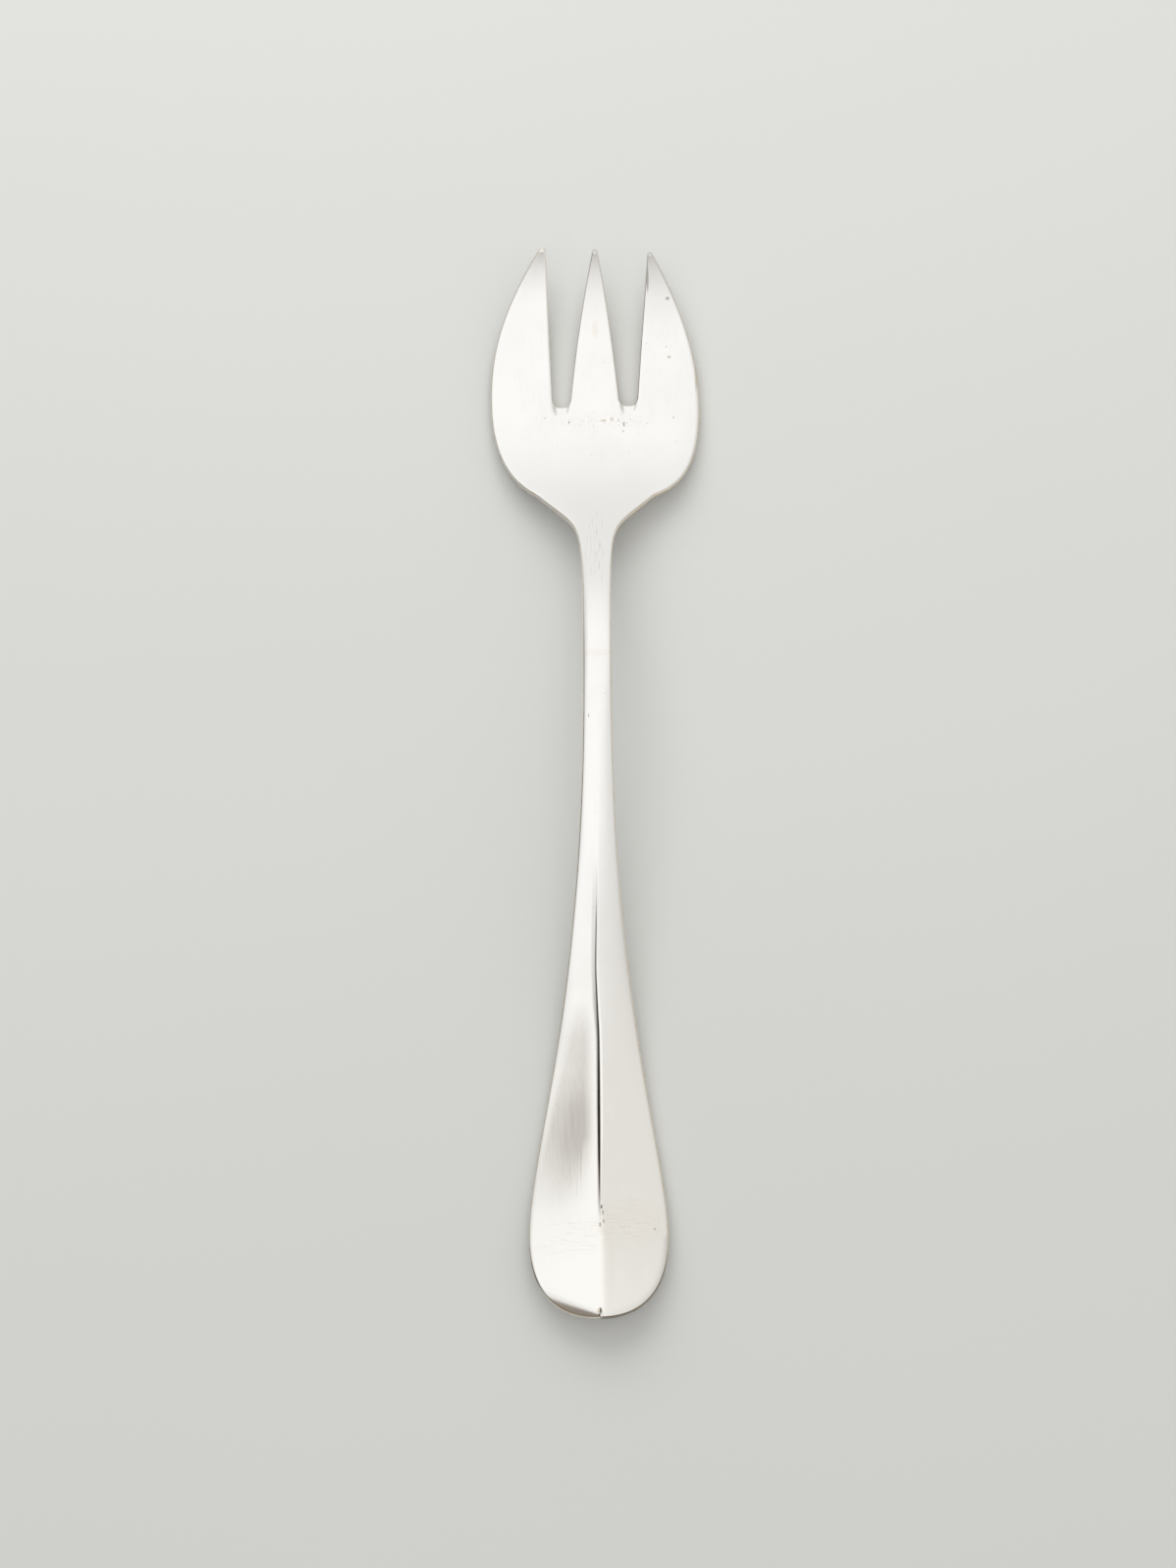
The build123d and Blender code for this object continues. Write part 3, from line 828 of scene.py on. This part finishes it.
def silver_material(finish):
    """Worn silver plate: hairline scratches, lengthwise polishing, pits, brown and black marks, a painted
    grey reflection on the left flank of the handle, tarnish at the foot of the crest, painted reflections on
    the tips and walls, yellow edges."""
    material = bpy.data.materials.new("silver_plate")
    sh = Shader(material)
    place = sh.add("ShaderNodeTexCoord", out="Object")
    mm = sh.add("ShaderNodeVectorMath", {0: place, "Scale": 1.0 / MM}, operation="SCALE")
    x, y, _ = sh.apart(mm)
    facing = sh.apart(sh.add("ShaderNodeNewGeometry", out="Normal"))[2]
    front = sh.step(facing, 0.3, 0.7)
    edge = sh.add("ShaderNodeAttribute", out="Fac", attribute_name="edge")
    groove = sh.add("ShaderNodeAttribute", out="Fac", attribute_name="groove")

    def blot(mark, soft=0.8):
        """Soft round mark: falls to nothing from its edge outwards, in plan."""
        mark_x, mark_y, wide, tall, strength = mark
        across = (x - mark_x) / wide
        along = (y - mark_y) / tall
        return sh.step(across * across + along * along, 1.0 + soft, 1.0 - soft) * strength

    def together(marks):
        """Sum of soft round marks."""
        total = blot(marks[0])
        for mark in marks[1:]:
            total = total + blot(mark)
        return total

    # Grain and scratches
    cloud = sh.noise(mm, 0.13, 3.0)
    mottle = sh.noise(mm, 0.9, 3.0)
    speckle = sh.noise(mm, 6.0, 2.0)
    polish = sh.noise(sh.stretch(mm, (7.0, 0.16, 7.0)), 1.0, 3.0)

    def hairlines(turn, thin, seed):
        """Thin lines where a long drawn noise passes through its middle value."""
        drawn = sh.noise(sh.stretch(mm, (1.6, 0.035, 1.6), turn, (seed, seed * 1.7, seed * 0.3)), 1.0, 1.0)
        return sh.step(abs(drawn - 0.5), thin, 0.0) * sh.step(sh.noise(mm, 0.35, 1.0), 0.42, 0.62)

    scratches = hairlines(12.0, 0.006, 3.1) + hairlines(-38.0, 0.005, 7.7) + hairlines(83.0, 0.006, 12.9)
    cross_marks = sh.noise(sh.stretch(mm, (0.40, 5.5, 1.0), 3.0), 1.0, 2.0)
    rubbed = blot((4.2, -61.8, 4.0, 3.6, 1.0), 0.9) + blot((-4.5, -63.5, 5.2, 2.6, 0.7), 0.9)
    rubbed = rubbed * front
    cross = sh.step(cross_marks, 0.54, 0.64) * rubbed

    # Pits and marks
    band = blot((1.5, 51.0, 7.0, 1.0, 1.0), 0.9) * front
    pit_cells = sh.add("ShaderNodeTexVoronoi", {"Vector": mm, "Scale": 1.1, "Randomness": 1.0},
                       out="Distance")
    pits = sh.step(pit_cells, 0.13, 0.05) * sh.step(mottle, 0.60, 0.66)
    band_pits = sh.step(speckle, 0.60, 0.70) * band
    brown = together(BROWN_MARKS) * front * sh.step(speckle, 0.30, 0.55) + band_pits * 0.45
    brown = sh.add("ShaderNodeClamp", {"Value": brown})
    black = sh.add("ShaderNodeClamp", {"Value": together(BLACK_MARKS) * front + pits * 0.35})
    neck_lines = (sh.step(sh.noise(sh.stretch(mm, (4.5, 0.30, 1.0)), 1.0, 2.0), 0.54, 0.70)
                  * blot((0.2, 33.0, 1.5, 5.5, 0.20), 0.9) * front)

    # Painted grey reflection on the left flank of the handle, from a line that runs along with the left edge,
    # wider low down
    streak = sh.noise(sh.stretch(mm, (3.2, 0.05, 1.0)), 1.0, 3.0)
    streak_lines = sh.step(streak, 0.50, 0.68) * blot((-2.6, -54.5, 1.5, 3.2, 0.22), 0.9)
    from_line = x - (y + 36.0) * 0.235 + 0.1
    below = sh.add("ShaderNodeMath", {0: -49.5 - y, 1: 0.0}, operation="MAXIMUM")
    widen = 1.0 + below * 0.19
    reflection_left = sh.step(from_line, -5.0, -3.2) * 0.72 + sh.step(from_line, -3.6, -0.4) * 0.28
    reflection_right = sh.step(x / widen, 0.0, -2.2)
    reflection_top = sh.step(y, -29.0, -36.0) * 0.68 + sh.step(y, -40.0, -47.0) * 0.32
    reflection_along = reflection_top * sh.step(y, -64.0, -48.0)
    grey_reflection = reflection_left * reflection_right * reflection_along * (0.92 + sh.step(polish, 0.35, 0.65) * 0.10)
    grey_reflection = sh.add("ShaderNodeClamp", {"Value": (grey_reflection + streak_lines) * front})

    # Worn edges; painted dark reflections on the walls, painted grey reflections at the tops of the outer
    # tines, a painted pale reflection on the left rim of the handle end, browner walls round the rest of the
    # handle end
    yellow_spot = (blot((4.6, -61.8, 4.4, 3.4, 0.12), 0.95) + blot((0.0, 18.3, 2.4, 0.5, 0.12))
                   + blot((0.2, 63.9, 0.40, 1.1, 0.22)) + blot((1.2, -66.5, 1.1, 6.5, 0.08), 0.9)) * front
    right_edge = sh.step(x, 1.5, 7.0)
    worn = sh.step(edge, 0.45, 1.0) * (0.30 + right_edge * 0.15 + sh.step(mottle, 0.40, 0.70) * 0.25)
    yellow = sh.add("ShaderNodeClamp", {"Value": worn + yellow_spot})
    left_end = sh.step(y, -69.0, -72.0) * sh.step(x, 0.8, -0.2)
    # Narrow sides that take the painted dark reflection, not on the left of the handle end
    wall = edge * sh.step(facing, 0.55, 0.15) * sh.step(facing, -0.7, -0.3) * (1 - left_end)
    rim = sh.step(edge, 0.9, 1.0)
    # Walls round the handle end, except on its left, darkened to brown
    end_wall = rim * sh.step(facing, 0.985, 0.88) * sh.step(y, -63.0, -70.0) * (1 - left_end)
    # Painted pale reflection: the left rim of the handle end is made partly non-metallic so that it shows as
    # a pale line
    pale_rim_reflection = rim * sh.step(x, 0.0, -1.0) * sh.step(y, -72.0, -66.0) * 0.4
    # Painted grey reflection at the tops of the outer tines, stronger on the left
    tips = sh.step(y, 62.0, 73.0) * (sh.step(x, -4.5, -2.5) * 0.62 + sh.step(x, 3.0, 5.0) * 0.38)

    # Colour, layer upon layer
    plate = sh.blend(sh.step(cloud, 0.35, 0.7) * 0.35, rgba(finish.silver),
                     rgba([part * tint for part, tint in zip(finish.silver, (0.985, 0.975, 0.955))]))
    plate = sh.blend(sh.step(y, -10.0, -45.0) * 0.5, plate, rgba(finish.cream))
    # Painted grey reflection on the left flank of the handle
    plate = sh.blend(grey_reflection, plate, rgba(finish.grey_reflection))
    plate = sh.blend(yellow, plate, rgba(finish.base_metal))
    # Painted grey reflection at the tops of the outer tines
    plate = sh.blend(tips, plate, rgba(finish.tip_reflection))
    # Painted dark reflection of the shaded floor on the walls, greyer on the left
    side_reflection_tone = sh.blend(sh.step(x, 0.5, -0.5), rgba(finish.wall), rgba(finish.left_wall_reflection))
    plate = sh.blend(wall * 0.55, plate, side_reflection_tone)
    # Walls round the handle end, except on its left, darkened to brown
    plate = sh.blend(end_wall * 0.8, plate, rgba(finish.tarnish, 0.6))
    plate = sh.blend(cross * 0.14, plate, rgba(finish.base_metal, 0.8))
    plate = sh.blend(neck_lines, plate, rgba(finish.wall))
    plate = sh.blend(groove, plate, rgba(finish.tarnish))
    plate = sh.blend(brown, plate, rgba(finish.stain))
    plate = sh.blend(black, plate, rgba(finish.tarnish, 0.35))

    # Roughness and height
    rough = (finish.roughness + sh.step(cloud, 0.3, 0.75) * 0.05 + sh.step(polish, 0.4, 0.75) * 0.04
             + rubbed * 0.06 + cross * 0.12 + grey_reflection * 0.06 + black * 0.45 + brown * 0.15)
    height = (polish * 0.25 + mottle * 0.10 + speckle * 0.05 - scratches * finish.scratch_depth * 5.0
              - cross * 0.10 - black * 1.2 - brown * 0.4)
    bump = sh.add("ShaderNodeBump", {"Strength": 0.10, "Distance": 0.00006, "Height": height}, out="Normal")
    # Metallic is lowered by the black marks and by the painted pale reflection on the left rim of the handle
    # end
    body = sh.add("ShaderNodeBsdfPrincipled", {"Base Color": plate, "Metallic": 1 - black * 0.6 - pale_rim_reflection,
                                               "Roughness": rough, "Normal": bump})
    sh.add("ShaderNodeOutputMaterial", {"Surface": body})
    return material


def floor_material(look):
    """Plain pale table top with a trace of unevenness."""
    material = bpy.data.materials.new("pale_floor")
    sh = Shader(material)
    place = sh.add("ShaderNodeTexCoord", out="Object")
    cloud = sh.noise(place, 9.0, 3.0)
    tone = sh.blend(sh.step(cloud, 0.3, 0.7) * 0.5, rgba(look.floor), rgba(look.floor, 0.985))
    body = sh.add("ShaderNodeBsdfPrincipled", {"Base Color": tone, "Roughness": 0.7,
                                               "Specular IOR Level": 0.2})
    sh.add("ShaderNodeOutputMaterial", {"Surface": body})
    return material


def studio_world(look):
    """A bright tent overhead: greyer on the right, fading towards both ends of the fork, and open to the dark
    low down on the left and near side."""
    world = bpy.data.worlds.new("studio_tent")
    bpy.context.scene.world = world
    sh = Shader(world)
    x, y, _ = sh.apart(sh.add("ShaderNodeTexCoord", out="Generated"))
    gap = rgba(look.tent_gap)
    tent = sh.blend(sh.step(x, 0.02, 0.20), rgba(look.tent), rgba(look.tent_right))
    tent = sh.blend(sh.step(-x, 0.18, 0.52) * 0.26, tent, gap)
    tent = sh.blend(sh.step(x, 0.26, 0.66) * 0.26, tent, gap)
    tent = sh.blend(sh.step(-y, 0.40, 0.66), tent, rgba(look.tent_near))
    tent = sh.blend(sh.step(y, 0.32, 0.80), tent, rgba(look.tent_far))
    tent = sh.blend(sh.step(-y - x * 0.15, 0.58, 0.82), tent, rgba(look.tent_foot))
    tent = sh.blend(sh.step(-x - y * 0.25, 0.64, 0.90), tent, gap)
    light = sh.add("ShaderNodeBackground", {"Color": tent, "Strength": look.sky_level})
    sh.add("ShaderNodeOutputWorld", {"Surface": light})


class MESH_OT_oyster_fork(bpy.types.Operator):
    """Build the fork: handle with its crest, arched stem, palm and three tines in one silver-plated piece"""
    bl_idname = "mesh.oyster_fork"
    bl_label = "Oyster fork"

    def execute(self, context):
        scene = context.scene
        spots, faces, wear = fork_mesh(scene.fork_shape)
        piece = new_object("silver_fork", spots, faces)
        for name, values in wear.items():
            piece.data.attributes.new(name, "FLOAT", "POINT").data.foreach_set("value", values)
        piece.data.materials.append(silver_material(scene.silver_finish))
        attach(piece, "root")
        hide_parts(NODE)
        return {"FINISHED"}


class SCENE_OT_fork_studio(bpy.types.Operator):
    """Lay the pale floor, hang the tent and the lamp, and set the camera straight above the fork"""
    bl_idname = "scene.fork_studio"
    bl_label = "Fork studio"

    def execute(self, context):
        scene = context.scene
        look = scene.studio_look
        across = np.linspace(-FLOOR_HALF, FLOOR_HALF, FLOOR_POINTS)
        east, north = np.meshgrid(across, across)
        spots = np.stack([east, north, np.zeros_like(east)], 2).reshape(-1, 3)
        floor = new_object("floor", spots, grid_faces(np.arange(east.size).reshape(east.shape)))
        floor.data.materials.append(floor_material(look))
        studio_world(look)

        lamp = bpy.data.lights.new("key_lamp", "AREA")
        lamp.shape = "RECTANGLE"
        lamp.size = LAMP_WIDTH
        lamp.size_y = LAMP_DEPTH
        lamp.energy = look.key_power
        key = bpy.data.objects.new("key_lamp", lamp)
        key.location = LAMP_PLACE
        key.rotation_euler = (-math.atan2(LAMP_PLACE[1], LAMP_PLACE[2]), 0.0, 0.0)
        key.visible_glossy = False
        scene.collection.objects.link(key)

        camera = bpy.data.cameras.new("camera")
        camera.sensor_fit = "VERTICAL"
        camera.sensor_height = SENSOR_HEIGHT
        camera.lens = SENSOR_HEIGHT * (look.camera_height / MM - METAL_LEVEL) / VIEW_HEIGHT
        eye = bpy.data.objects.new("camera", camera)
        eye.location = (CAMERA_X, 0.0, look.camera_height)
        eye.rotation_euler = (0.0, 0.0, math.radians(CAMERA_ROLL))
        scene.collection.objects.link(eye)
        scene.camera = eye
        scene.view_settings.view_transform = "Standard"
        return {"FINISHED"}


class VIEW3D_PT_oyster_fork(bpy.types.Panel):
    """Sizes, finish and studio of the fork"""
    bl_label = "Oyster fork"
    bl_space_type = "VIEW_3D"
    bl_region_type = "UI"
    bl_category = "Oyster fork"

    def draw(self, context):
        scene = context.scene
        for operator, group in ((MESH_OT_oyster_fork, scene.fork_shape), (None, scene.silver_finish),
                                (SCENE_OT_fork_studio, scene.studio_look)):
            box = self.layout.box()
            for name in group.bl_rna.properties.keys():
                if name not in ("rna_type", "name"):
                    box.prop(group, name)
            if operator:
                box.operator(operator.bl_idname)


GROUPS = {"fork_shape": ForkShape, "silver_finish": SilverFinish, "studio_look": StudioLook}
CLASSES = (*GROUPS.values(), MESH_OT_oyster_fork, SCENE_OT_fork_studio, VIEW3D_PT_oyster_fork)


def register():
    """Add the classes and hang the settings on the scene."""
    for kind in CLASSES:
        bpy.utils.register_class(kind)
    for name, group in GROUPS.items():
        setattr(bpy.types.Scene, name, bpy.props.PointerProperty(type=group))


def unregister():
    """Take the settings and the classes away again."""
    for name in GROUPS:
        delattr(bpy.types.Scene, name)
    for kind in reversed(CLASSES):
        bpy.utils.unregister_class(kind)


def main():
    """Build the fork and its studio."""
    register()
    bpy.ops.scene.fork_studio()
    bpy.ops.mesh.oyster_fork()


if __name__ == "__main__":
    main()
